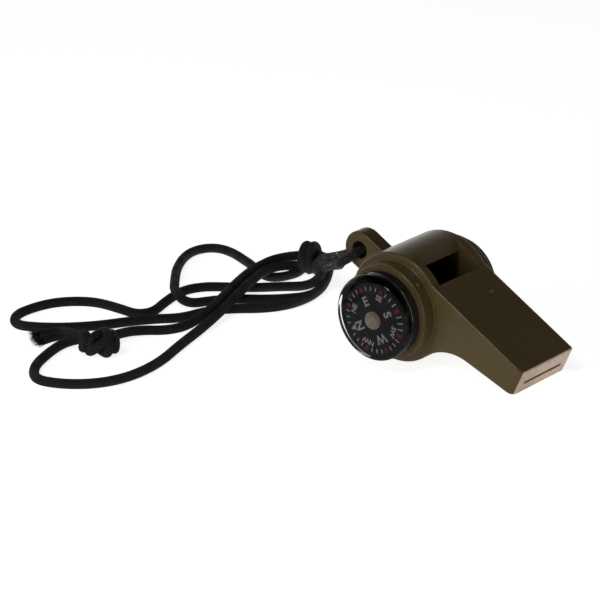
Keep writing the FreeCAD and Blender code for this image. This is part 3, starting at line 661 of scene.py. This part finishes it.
def even_line(line, step):
    """The same line with evenly spaced points."""
    runs = np.linalg.norm(np.diff(line, axis=0), axis=1)
    keep = np.concatenate(([True], runs > 1e-9))
    line = line[keep]
    reach = np.concatenate(([0.0], np.cumsum(np.linalg.norm(np.diff(line, axis=0), axis=1))))
    count = max(int(round(reach[-1] / step)), 4)
    spots = np.linspace(0.0, reach[-1], count + 1)
    return np.stack([np.interp(spots, reach, line[:, axis]) for axis in range(3)], axis=1), spots


def side_vectors(line):
    """Two directions square to the line that follow it round without twisting."""
    heading = np.gradient(line, axis=0)
    heading /= np.linalg.norm(heading, axis=1)[:, None]
    first = np.cross(heading[0], (0.0, 0.0, 1.0))
    if np.linalg.norm(first) < 0.1:
        first = np.cross(heading[0], (1.0, 0.0, 0.0))
    sides = [first / np.linalg.norm(first)]
    for step in heading[1:]:
        side = sides[-1] - step * np.dot(sides[-1], step)
        sides.append(side / np.linalg.norm(side))
    sides = np.array(sides)
    return sides, np.cross(heading, sides)


def braid_height(around, lays, strands):
    """Height of a diamond braid, 0 to 1, at places round the cord (0 to 1) and along it."""
    left = strands * (around + lays)
    right = strands * (around - lays)
    over = np.mod(np.floor(left) + np.floor(right), 2.0) < 0.5
    across = np.mod(np.where(over, left, right), 1.0) * 2.0 - 1.0
    lengthways = np.mod(np.where(over, right, left), 1.0) * 2.0 - 1.0
    return np.sqrt(np.clip(1.0 - across ** 2, 0, 1)) * (1.0 - STRAND_DIP * lengthways ** 2)


def smooth_mesh(name, vertices, faces, look, maps=None):
    """A smooth piece from its points and faces. Its map is filled only if one is given."""
    mesh = bpy.data.meshes.new(name)
    mesh.from_pydata(vertices, [], faces)
    layer = mesh.uv_layers.new(name="UVMap")
    if maps:
        layer.data.foreach_set("uv", np.array(maps, np.float32).ravel())
    mesh.polygons.foreach_set("use_smooth", [True] * len(mesh.polygons))
    return dress(placed(name, mesh), look)


def braided_tube(name, line, radius, step=RING_STEP, sides=32):
    """A closed tube along a line, with the strands of the braid raised on its skin."""
    cord = settings("cord")
    line, spots = even_line(line, step)
    side, top = side_vectors(line)
    around = np.arange(sides) / sides
    lays = (spots / cord.lay_length)[:, None] + np.zeros(sides)[None, :]
    turn = around[None, :] + np.zeros(len(line))[:, None]
    height = braid_height(turn + EDGE_STEP, lays + EDGE_STEP, cord.strands)
    reach = radius * (BRAID_WIDTH + cord.relief * (height - BRAID_LEVEL))
    angle = turn * 2 * math.pi
    places = line[:, None, :] + side[:, None, :] * (reach * np.cos(angle))[:, :, None] \
        + top[:, None, :] * (reach * np.sin(angle))[:, :, None]
    places[:, :, 2] = np.maximum(places[:, :, 2], FLOOR_GAP)
    rings = len(line)
    vertices = places.reshape(-1, 3).tolist() + [line[0].tolist(), line[-1].tolist()]
    faces = []
    maps = []
    for ring in range(rings - 1):
        for spot in range(sides):
            other = (spot + 1) % sides
            faces.append((ring * sides + spot, ring * sides + other,
                          (ring + 1) * sides + other, (ring + 1) * sides + spot))
            low, high = lays[ring, 0], lays[ring + 1, 0]
            left, right = spot / sides, (spot + 1) / sides
            maps += [(left, low), (right, low), (right, high), (left, high)]
    first, last = rings * sides, rings * sides + 1
    for spot in range(sides):
        other = (spot + 1) % sides
        faces.append((first, other, spot))
        faces.append((last, (rings - 1) * sides + spot, (rings - 1) * sides + other))
        maps += [(spot / sides, 0.0)] * 3 + [(spot / sides, lays[-1, 0])] * 3
    return smooth_mesh(name, vertices, faces, "braid", maps)


def leg(name, route, *nodes):
    """One leg of the lanyard, from the lug to the knot, and the path that it takes."""
    line = smooth_line(name, route)
    piece = braided_tube(name, line, settings("cord").diameter / 2)
    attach(piece, "whistle")
    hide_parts(*nodes)
    return piece, even_line(line, PATH_STEP)[0].tolist()


class WHISTLE_OT_body(bpy.types.Operator):
    """Gives the moulded body and the side cover their plastic finish"""
    bl_idname = "whistle.body"
    bl_label = "Body and Cover"

    def execute(self, context):
        smooth_copy("whistle_body", "whistle_shell", "olive")
        smooth_copy("side_cover", "cover_shell", "olive")
        return {"FINISHED"}


class WHISTLE_OT_pips(bpy.types.Operator):
    """Adds the small round pips that the mould leaves on the plastic"""
    bl_idname = "whistle.pips"
    bl_label = "Moulding Pips"

    def execute(self, context):
        body = settings("body")
        barrel = barrel_middle()
        made = []
        for spot, outward in PIPS:
            place = barrel + level_turn() @ (Vector(spot) * MM)
            clear_choice()
            bpy.ops.mesh.primitive_uv_sphere_add(
                segments=24, ring_count=12, radius=body.pip_radius, location=place)
            pip = bpy.context.object
            pip.rotation_mode = "QUATERNION"
            pip.rotation_quaternion = (level_turn() @ Vector(outward)).to_track_quat("Z", "Y")
            pip.scale = (1.0, 1.0, PIP_HEIGHT)
            bpy.ops.object.shade_smooth()
            made.append(pip)
        piece = joined(made, "moulding_pips")
        dress(piece, "olive")
        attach(piece, "whistle")
        return {"FINISHED"}


def middle_of(low, high, depth):
    """The middle of a box as seen from the side, at a depth of its own."""
    return Vector(((low.x + high.x) / 2, depth, (low.z + high.z) / 2))


def barrel_middle():
    """The middle of the round barrel, halfway between the two sides."""
    low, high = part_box("side_cover")
    return middle_of(low, high, BARREL_MIDDLE_Y)


def level_turn():
    """The turn from the level whistle to the way it rests, nose down on its lip."""
    return Matrix.Rotation(math.radians(RESTING_TILT), 3, "Y")


def end_face():
    """The way that the mouthpiece's end faces, and how far out along it the face lies."""
    lean = math.radians(MOUTH_LEAN)
    outward = level_turn() @ Vector((math.cos(lean), 0.0, math.sin(lean)))
    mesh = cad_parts["whistle_body"].data
    return outward, max(vertex.co.dot(outward) for vertex in mesh.vertices) - LIT_END_DEPTH


def turned_shape(name, profile, middle, facing, sides=128):
    """A closed round body from rings of (radius, height out of the dial's plane)."""
    clear_choice()
    radius, height = profile[0]
    bpy.ops.mesh.primitive_circle_add(vertices=sides, radius=radius, fill_type="NGON",
                                      location=(0, 0, 0))
    piece = bpy.context.object
    piece.name = name
    bpy.ops.object.mode_set(mode="EDIT")
    bpy.ops.mesh.select_all(action="SELECT")
    bpy.ops.transform.translate(value=(0, 0, height))
    for (before, low), (after, high) in zip(profile, profile[1:]):
        bpy.ops.mesh.extrude_region_move(TRANSFORM_OT_translate={"value": (0, 0, high - low)})
        bpy.ops.transform.resize(value=(after / before, after / before, 1.0))
    bpy.ops.mesh.select_all(action="SELECT")
    bpy.ops.mesh.normals_make_consistent(inside=False)
    bpy.ops.object.mode_set(mode="OBJECT")
    piece.data.transform(dial_plane(middle, facing))
    return piece


def liquid_dome():
    """The lens with the liquid under it, as one clear body down to the floor of the case."""
    low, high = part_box("compass_lens")
    inner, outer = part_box("compass_case")
    rim = (high.x - low.x) / 2
    well = (outer.x - inner.x) / 2 - CASE_WALL
    front = outer.y - low.y
    seat = outer.y - high.y - LENS_GAP
    shoulder = front - LENS_RISE
    crown = front - shoulder - LENS_EDGE
    profile = [(well, CASE_FLOOR), (well, seat), (rim, seat), (rim, shoulder)]
    for step in range(1, EDGE_RINGS + 1):
        angle = math.radians(90.0 * step / EDGE_RINGS)
        profile.append((rim - LENS_EDGE + LENS_EDGE * math.cos(angle),
                        shoulder + LENS_EDGE * math.sin(angle)))
    for step in range(1, CROWN_RINGS):
        share = 1.0 - step / CROWN_RINGS
        profile.append(((rim - LENS_EDGE) * share, front - crown * share ** 2))
    piece = turned_shape("compass_dome", profile, middle_of(low, high, outer.y), -1)
    choose(piece)
    bpy.ops.object.shade_smooth_by_angle(angle=math.radians(DOME_ANGLE))
    dress(piece, "liquid")
    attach(piece, "whistle")
    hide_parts("compass_lens")


class WHISTLE_OT_compass(bpy.types.Operator):
    """Finishes the compass: case, seal, lens, pin and the card that turns on it"""
    bl_idname = "whistle.compass"
    bl_label = "Compass"

    def execute(self, context):
        smooth_copy("compass_case", "compass_cup", "case")
        smooth_copy("compass_gasket", "compass_seal", "rubber")
        liquid_dome()
        smooth_copy("compass_pivot_pin", "compass_pin", "steel")
        card = "compass_card"
        smooth_copy("compass_card", "compass_rose", "card", card)
        smooth_copy("compass_magnet", "card_magnet", "magnet", card)
        smooth_copy("compass_hub_cap", "card_hub", "hub", card)
        smooth_copy("compass_jewel", "card_jewel", "jewel", card)
        return {"FINISHED"}


class WHISTLE_OT_thermometer(bpy.types.Operator):
    """Finishes the thermometer: case, seal, lens, dial, coil and pointer"""
    bl_idname = "whistle.thermometer"
    bl_label = "Thermometer"

    def execute(self, context):
        smooth_copy("thermometer_case", "thermometer_cup", "case")
        smooth_copy("thermometer_gasket", "thermometer_seal", "rubber")
        smooth_copy("thermometer_lens", "thermometer_dome", "clear",
                    angle=DOME_ANGLE)
        smooth_copy("thermometer_dial", "thermometer_face", "card")
        smooth_copy("thermometer_coil", "thermometer_spiral", "spring")
        smooth_copy("thermometer_coil_anchor", "spiral_anchor", "spring")
        hand = "thermometer_pointer"
        smooth_copy("thermometer_staff", "pointer_staff", "steel", hand)
        smooth_copy("thermometer_pointer", "pointer_hand", "red paint", hand)
        return {"FINISHED"}


def printed_text(words, height, reach, angle, middle, facing, thickness):
    """Flat letters on a dial, with their tops pointing outwards."""
    clear_choice()
    bpy.ops.object.text_add(location=(0, 0, 0))
    text = bpy.context.object
    text.data.body = words
    text.data.size = height / LETTER_SIZE
    text.data.align_x = "CENTER"
    text.data.align_y = "CENTER"
    text.data.offset = height * STROKE_GROWTH
    text.data.extrude = thickness / 2
    bpy.ops.object.convert(target="MESH")
    strokes = [bpy.context.object]
    for across, upward in SERIFS.get(words, ()):
        bpy.ops.mesh.primitive_cube_add(size=1.0, location=(0, 0, 0))
        stroke = bpy.context.object
        place = Matrix.Translation((across * height, upward * height * SERIF_PLACE, 0))
        size = (height * SERIF_LENGTH, height * SERIF_WIDTH, thickness, 1.0)
        stroke.data.transform(place @ Matrix.Diagonal(size))
        strokes.append(stroke)
    text = joined(strokes, "letters")
    turned = Matrix.Rotation(math.radians(angle - 90.0), 4, "Z")
    outward = Matrix.Translation((reach * math.cos(math.radians(angle)),
                                  reach * math.sin(math.radians(angle)), thickness / 2))
    text.data.transform(dial_plane(middle, facing) @ outward @ turned)
    return text


def dial_plane(middle, facing):
    """From a drawing seen from its front (right, up, out) to the dial's own place."""
    upright = Matrix.Rotation(math.radians(90.0), 4, "X")
    if facing > 0:
        upright = Matrix.Rotation(math.pi, 4, "Z") @ upright
    return Matrix.Translation(middle) @ upright


def printed_mark(width, inner, outer, angle, middle, facing, thickness, taper=1.0):
    """A flat block of ink from one radius to another. A taper of 0 makes it a triangle."""
    clear_choice()
    bpy.ops.mesh.primitive_cube_add(size=1.0, location=(0, 0, 0))
    mark = bpy.context.object
    mark.data.transform(Matrix.Diagonal((outer - inner, width, thickness, 1.0)))
    for vertex in mark.data.vertices:
        if vertex.co.x > 0:
            vertex.co.y *= taper
    outward = Matrix.Translation(((outer + inner) / 2, 0, thickness / 2))
    turned = Matrix.Rotation(math.radians(angle), 4, "Z")
    mark.data.transform(dial_plane(middle, facing) @ turned @ outward)
    return mark


def finished_print(marks, name, body, look):
    piece = joined(marks, name)
    dress(piece, look)
    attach(piece, body)


class WHISTLE_OT_rose(bpy.types.Operator):
    """Prints the letters and the scale on the compass card"""
    bl_idname = "whistle.rose"
    bl_label = "Compass Print"

    def execute(self, context):
        dial = settings("dial")
        low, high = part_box("compass_card")
        face = (middle_of(low, high, low.y), -1, dial.print_thickness)
        letters = []
        for index, word in enumerate(("N", "NE", "E", "SE", "S", "SW", "W", "NW")):
            main = len(word) == 1
            height = dial.letter_height if main else dial.small_height
            reach = dial.letter_reach if main else dial.small_reach
            letters.append(printed_text(word, height, reach, NORTH_ANGLE - 45.0 * index, *face))
        letters.append(printed_mark(ARROW_WIDTH, *ARROW_SPAN, NORTH_ANGLE, *face, ARROW_TIP))
        white = []
        red = []
        outer = dial.tick_reach
        inner = outer - dial.tick_length
        for index in range(CARD_MARKS):
            angle = NORTH_ANGLE - 360.0 / CARD_MARKS * index
            if index % MARKS_PER_LETTER:
                white.append(printed_mark(TICK_WIDTH, inner, outer, angle, *face))
            elif index:
                red.append(printed_mark(RED_WIDTH, inner - RED_EXTRA, outer, angle, *face))
        finished_print(letters, "compass_letters", "compass_card", "white ink")
        finished_print(white, "compass_ticks", "compass_card", "white ink")
        finished_print(red, "compass_red_marks", "compass_card", "red ink")
        return {"FINISHED"}


class WHISTLE_OT_degrees(bpy.types.Operator):
    """Prints the numbers and the scale on the thermometer's dial"""
    bl_idname = "whistle.degrees"
    bl_label = "Thermometer Print"

    def execute(self, context):
        low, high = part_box("thermometer_dial")
        face = (middle_of(low, high, high.y), 1, settings("dial").print_thickness)
        rest_angle = 90.0 + RESTING_TILT
        white = []
        red = []
        for degrees in range(COLDEST, HOTTEST + DEGREE_STEP, DEGREE_STEP):
            angle = rest_angle - TURN_PER_DEGREE * (degrees - RESTING_DEGREES)
            long = degrees % LONG_STEP == 0
            length = LONG_MARK if long else SHORT_MARK
            width = LONG_WIDTH if long else SHORT_WIDTH
            where = red if degrees >= RED_FROM and not long else white
            where.append(printed_mark(width, SCALE_REACH - length, SCALE_REACH, angle, *face))
            if long:
                white.append(printed_text(str(degrees), NUMBER_HEIGHT, NUMBER_REACH, angle, *face))
        white.append(printed_text("°C", UNIT_HEIGHT, UNIT_REACH, rest_angle + 180.0, *face))
        finished_print(white, "thermometer_numbers", "whistle", "white ink")
        finished_print(red, "thermometer_red_marks", "whistle", "red ink")
        return {"FINISHED"}


class WHISTLE_OT_lanyard(bpy.types.Operator):
    """Lays the two legs of the braided lanyard, its knot and its frayed ends"""
    bl_idname = "whistle.lanyard"
    bl_label = "Lanyard"

    def execute(self, context):
        cord = settings("cord")
        far = leg("lanyard_far_braid", FAR_LEAD + wrap_turns() + FAR_RUN,
                  "lanyard_lead", "lanyard_far_leg", "lanyard_wrap")
        near = leg("lanyard_near_braid", NEAR_RUN, "lanyard_near_leg")
        knot = tied_knot()
        tails = [frayed_tail("lanyard_upper_end", UPPER_TAIL, "lanyard_upper_tail", 3),
                 frayed_tail("lanyard_lower_end", LOWER_TAIL, "lanyard_lower_tail", 5)]
        return {"FINISHED"}


def tied_knot():
    """Two strands pulled tight round the ends that they hold."""
    cord = settings("cord")
    front = Vector((KNOT_AXIS.y, -KNOT_AXIS.x, 0.0))
    up = Vector((0, 0, 1))
    strands = []
    for route in (KNOT_OVER, KNOT_UNDER):
        points = [KNOT_MIDDLE + KNOT_AXIS * along + front * forward + up * upward
                  for along, forward, upward in route]
        line = smooth_line("knot_strand", points)
        strands.append(braided_tube("knot_strand", line, cord.diameter / 2, WIDE_STEP))
    piece = joined(strands, "lanyard_tied_knot")
    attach(piece, "whistle")
    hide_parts("lanyard_knot")
    return piece


def frayed_tail(name, points, node, seed):
    """A short cut end that opens into loose fibres."""
    cord = settings("cord")
    line = even_line(smooth_line(name, points), WIDE_STEP)[0]
    fringe_steps = int(cord.fringe * FRINGE_SHARE / WIDE_STEP)
    tube = braided_tube(name, line[:-fringe_steps], cord.diameter * TAIL_WIDTH, WIDE_STEP)
    start = Vector(line[-2 * fringe_steps])
    heading = (Vector(line[-1]) - start).normalized()
    side = heading.cross(Vector((0, 0, 1))).normalized()
    top = side.cross(heading)
    rng = np.random.default_rng(seed)
    vertices = []
    faces = []
    for _ in range(cord.fibres):
        turn = rng.uniform(0, 2 * math.pi)
        out = cord.diameter * FIBRES_WIDTH * math.sqrt(rng.uniform(0, 1))
        spread = rng.normal(0.0, FIBRE_SPREAD)
        lift = rng.normal(FIBRE_RISE, FIBRE_LIFT)
        reach = cord.fringe * rng.uniform(*FIBRE_REACH)
        bend = rng.normal(0.0, FIBRE_BEND)
        base = start + side * (out * math.cos(turn)) + top * (out * math.sin(turn))
        first = len(vertices)
        for part in range(FIBRE_PARTS + 1):
            share = part / FIBRE_PARTS
            centre = base + heading * (reach * share) \
                + side * (reach * (spread * share + bend * share * share)) \
                + top * (reach * lift * share * share)
            centre.z = max(centre.z, FIBRE_RADIUS)
            thick = FIBRE_RADIUS * (1 - 0.5 * share)
            for corner in range(3):
                spin = corner * 2 * math.pi / 3
                vertices.append(centre + side * (thick * math.cos(spin))
                                + top * (thick * math.sin(spin)))
        for part in range(FIBRE_PARTS):
            for corner in range(3):
                low = first + part * 3
                other = (corner + 1) % 3
                faces.append((low + corner, low + other, low + 3 + other, low + 3 + corner))
        faces.append((first + 2, first + 1, first))
        end = first + FIBRE_PARTS * 3
        faces.append((end, end + 1, end + 2))
    fringe = smooth_mesh(name + "_fibres", vertices, faces, "fibres")
    piece = joined([tube, fringe], name)
    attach(piece, "whistle")
    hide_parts(node)
    return piece


def lamp(name, place, size, power):
    """A round lamp that faces the whistle."""
    data = bpy.data.lights.new(name, "AREA")
    data.shape = "DISK"
    data.size = size
    data.energy = power
    light = placed(name, data)
    light.location = place
    facing = Vector(LAMP_TARGET) - Vector(place)
    light.rotation_euler = facing.to_track_quat("-Z", "Y").to_euler()
    # its image through a lens would speckle the dial under it
    light.visible_transmission = False
    return light


class WHISTLE_OT_stage(bpy.types.Operator):
    """Sets up the pale floor, the soft light and the camera"""
    bl_idname = "whistle.stage"
    bl_label = "Floor, Light and Camera"

    def execute(self, context):
        add_floor()
        add_world()
        front = lamp("low front light", place=(-0.15, -0.9, 0.16), size=0.8, power=3.5)
        # its mirror image in the compass lens would veil the card
        front.visible_glossy = False
        lamp("edge light", place=(0.03, -0.37, 0.48), size=0.2, power=0.6)
        add_camera()
        context.scene.view_settings.view_transform = "Standard"
        return {"FINISHED"}


def add_floor():
    stage = settings("stage")
    clear_choice()
    bpy.ops.mesh.primitive_plane_add(size=stage.floor_size, location=(0, 0, 0))
    floor = bpy.context.object
    floor.name = "pale_floor"
    s = Surface("pale floor")
    s.set(Base_Color=(0.86, 0.86, 0.86, 1), Roughness=0.9)
    path = s.node("LightPath")
    strength = s.scaled(path.outputs["Is Camera Ray"], 0.25, 0.6)
    glow = s.node("Emission", {"Color": (1, 1, 1, 1), "Strength": strength})
    white = s.node("AddShader")
    s.feed(white.inputs[0], s.shader.outputs[0])
    s.feed(white.inputs[1], glow.outputs[0])
    # polished faces mirror a floor that is dim in front of the object and bright behind it
    depth = s.scaled(s.dot(s.place(), (0, 1, 0)), 40.0, 0.5)
    mirrored = s.ramp(depth, (0.45, 0.2), (0.7, 1.0))
    dim = s.node("Emission", {"Color": mirrored, "Strength": 1.0})
    mixed = s.node("MixShader", {"Fac": path.outputs["Is Glossy Ray"]})
    s.feed(mixed.inputs[1], white.outputs[0])
    s.feed(mixed.inputs[2], dim.outputs[0])
    s.feed(s.tree.nodes["Material Output"].inputs["Surface"], mixed.outputs[0])
    floor.data.materials.append(s.material)


def add_world():
    """White to the camera. It lights from low down behind the object and to its left."""
    world = bpy.data.worlds.new("photo booth")
    world.use_nodes = True
    bpy.context.scene.world = world
    n = Nodes(world.node_tree)
    heading = n.place("Generated")
    rise = n.dot(heading, (0, 0, 1))
    low = n.ramp(rise, (0.0, 0.9), (0.37, 0.32), (0.65, 0.02))
    behind = n.ramp(n.dot(heading, (-0.71, 0.70, 0)), (0.1, 0.12), (0.6, 1.0))
    horizon = n.ramp(rise, (0.0, 1.0), (0.14, 0.0))
    light = n.math("MAXIMUM", n.math("MULTIPLY", low, behind), horizon)
    warm = n.mix(light, (0, 0, 0, 1), (1.0, 0.95, 0.87, 1))
    seen = n.node("LightPath").outputs["Is Camera Ray"]
    colour = n.mix(seen, warm, (1, 1, 1, 1))
    background = n.tree.nodes["Background"]
    n.feed(background.inputs["Color"], colour)
    background.inputs["Strength"].default_value = 1.0


def add_camera():
    stage = settings("stage")
    turn, drop, roll = stage.camera_turn, stage.camera_drop, stage.camera_roll
    right = Vector((math.cos(turn), math.sin(turn), 0))
    back = Vector((math.cos(drop) * math.sin(turn), -math.cos(drop) * math.cos(turn),
                   math.sin(drop)))
    up = back.cross(right)
    rolled_right = right * math.cos(roll) + up * math.sin(roll)
    rolled_up = up * math.cos(roll) - right * math.sin(roll)
    data = bpy.data.cameras.new("camera")
    data.lens = stage.lens
    data.sensor_width = 36.0
    data.clip_start = 0.01
    data.clip_end = 20.0
    camera = placed("camera", data)
    axes = Matrix((rolled_right, rolled_up, back)).transposed().to_4x4()
    camera.matrix_world = Matrix.Translation(stage.camera_place) @ axes
    bpy.context.scene.camera = camera


class WHISTLE_PT_panel(bpy.types.Panel):
    """Lists the sizes, the colours and the steps of the whistle"""
    bl_idname = "WHISTLE_PT_panel"
    bl_label = "Survival Whistle"
    bl_space_type = "VIEW_3D"
    bl_region_type = "UI"
    bl_category = "Whistle"

    def draw(self, context):
        layout = self.layout
        for name in GROUPS:
            group = settings(name)
            box = layout.box()
            box.label(text=name.capitalize())
            for key in group.__annotations__:
                box.prop(group, key)
        for step in STEPS:
            layout.operator(step.bl_idname)


GROUPS = {"body": BodySettings, "dial": DialSettings, "cord": CordSettings,
          "stage": StageSettings}
STEPS = (WHISTLE_OT_body, WHISTLE_OT_pips, WHISTLE_OT_compass, WHISTLE_OT_rose,
         WHISTLE_OT_thermometer, WHISTLE_OT_degrees, WHISTLE_OT_lanyard, WHISTLE_OT_stage)
CLASSES = (*GROUPS.values(), *STEPS, WHISTLE_PT_panel)


def register():
    for item in CLASSES:
        bpy.utils.register_class(item)
    for name, group in GROUPS.items():
        setattr(bpy.types.Scene, "whistle_" + name, bpy.props.PointerProperty(type=group))


def unregister():
    for name in GROUPS:
        delattr(bpy.types.Scene, "whistle_" + name)
    for item in reversed(CLASSES):
        bpy.utils.unregister_class(item)


def main():
    register()
    bpy.ops.whistle.body()
    bpy.ops.whistle.pips()
    bpy.ops.whistle.compass()
    bpy.ops.whistle.rose()
    bpy.ops.whistle.thermometer()
    bpy.ops.whistle.degrees()
    bpy.ops.whistle.lanyard()
    bpy.ops.whistle.stage()
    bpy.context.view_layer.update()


if __name__ == "__main__":
    main()
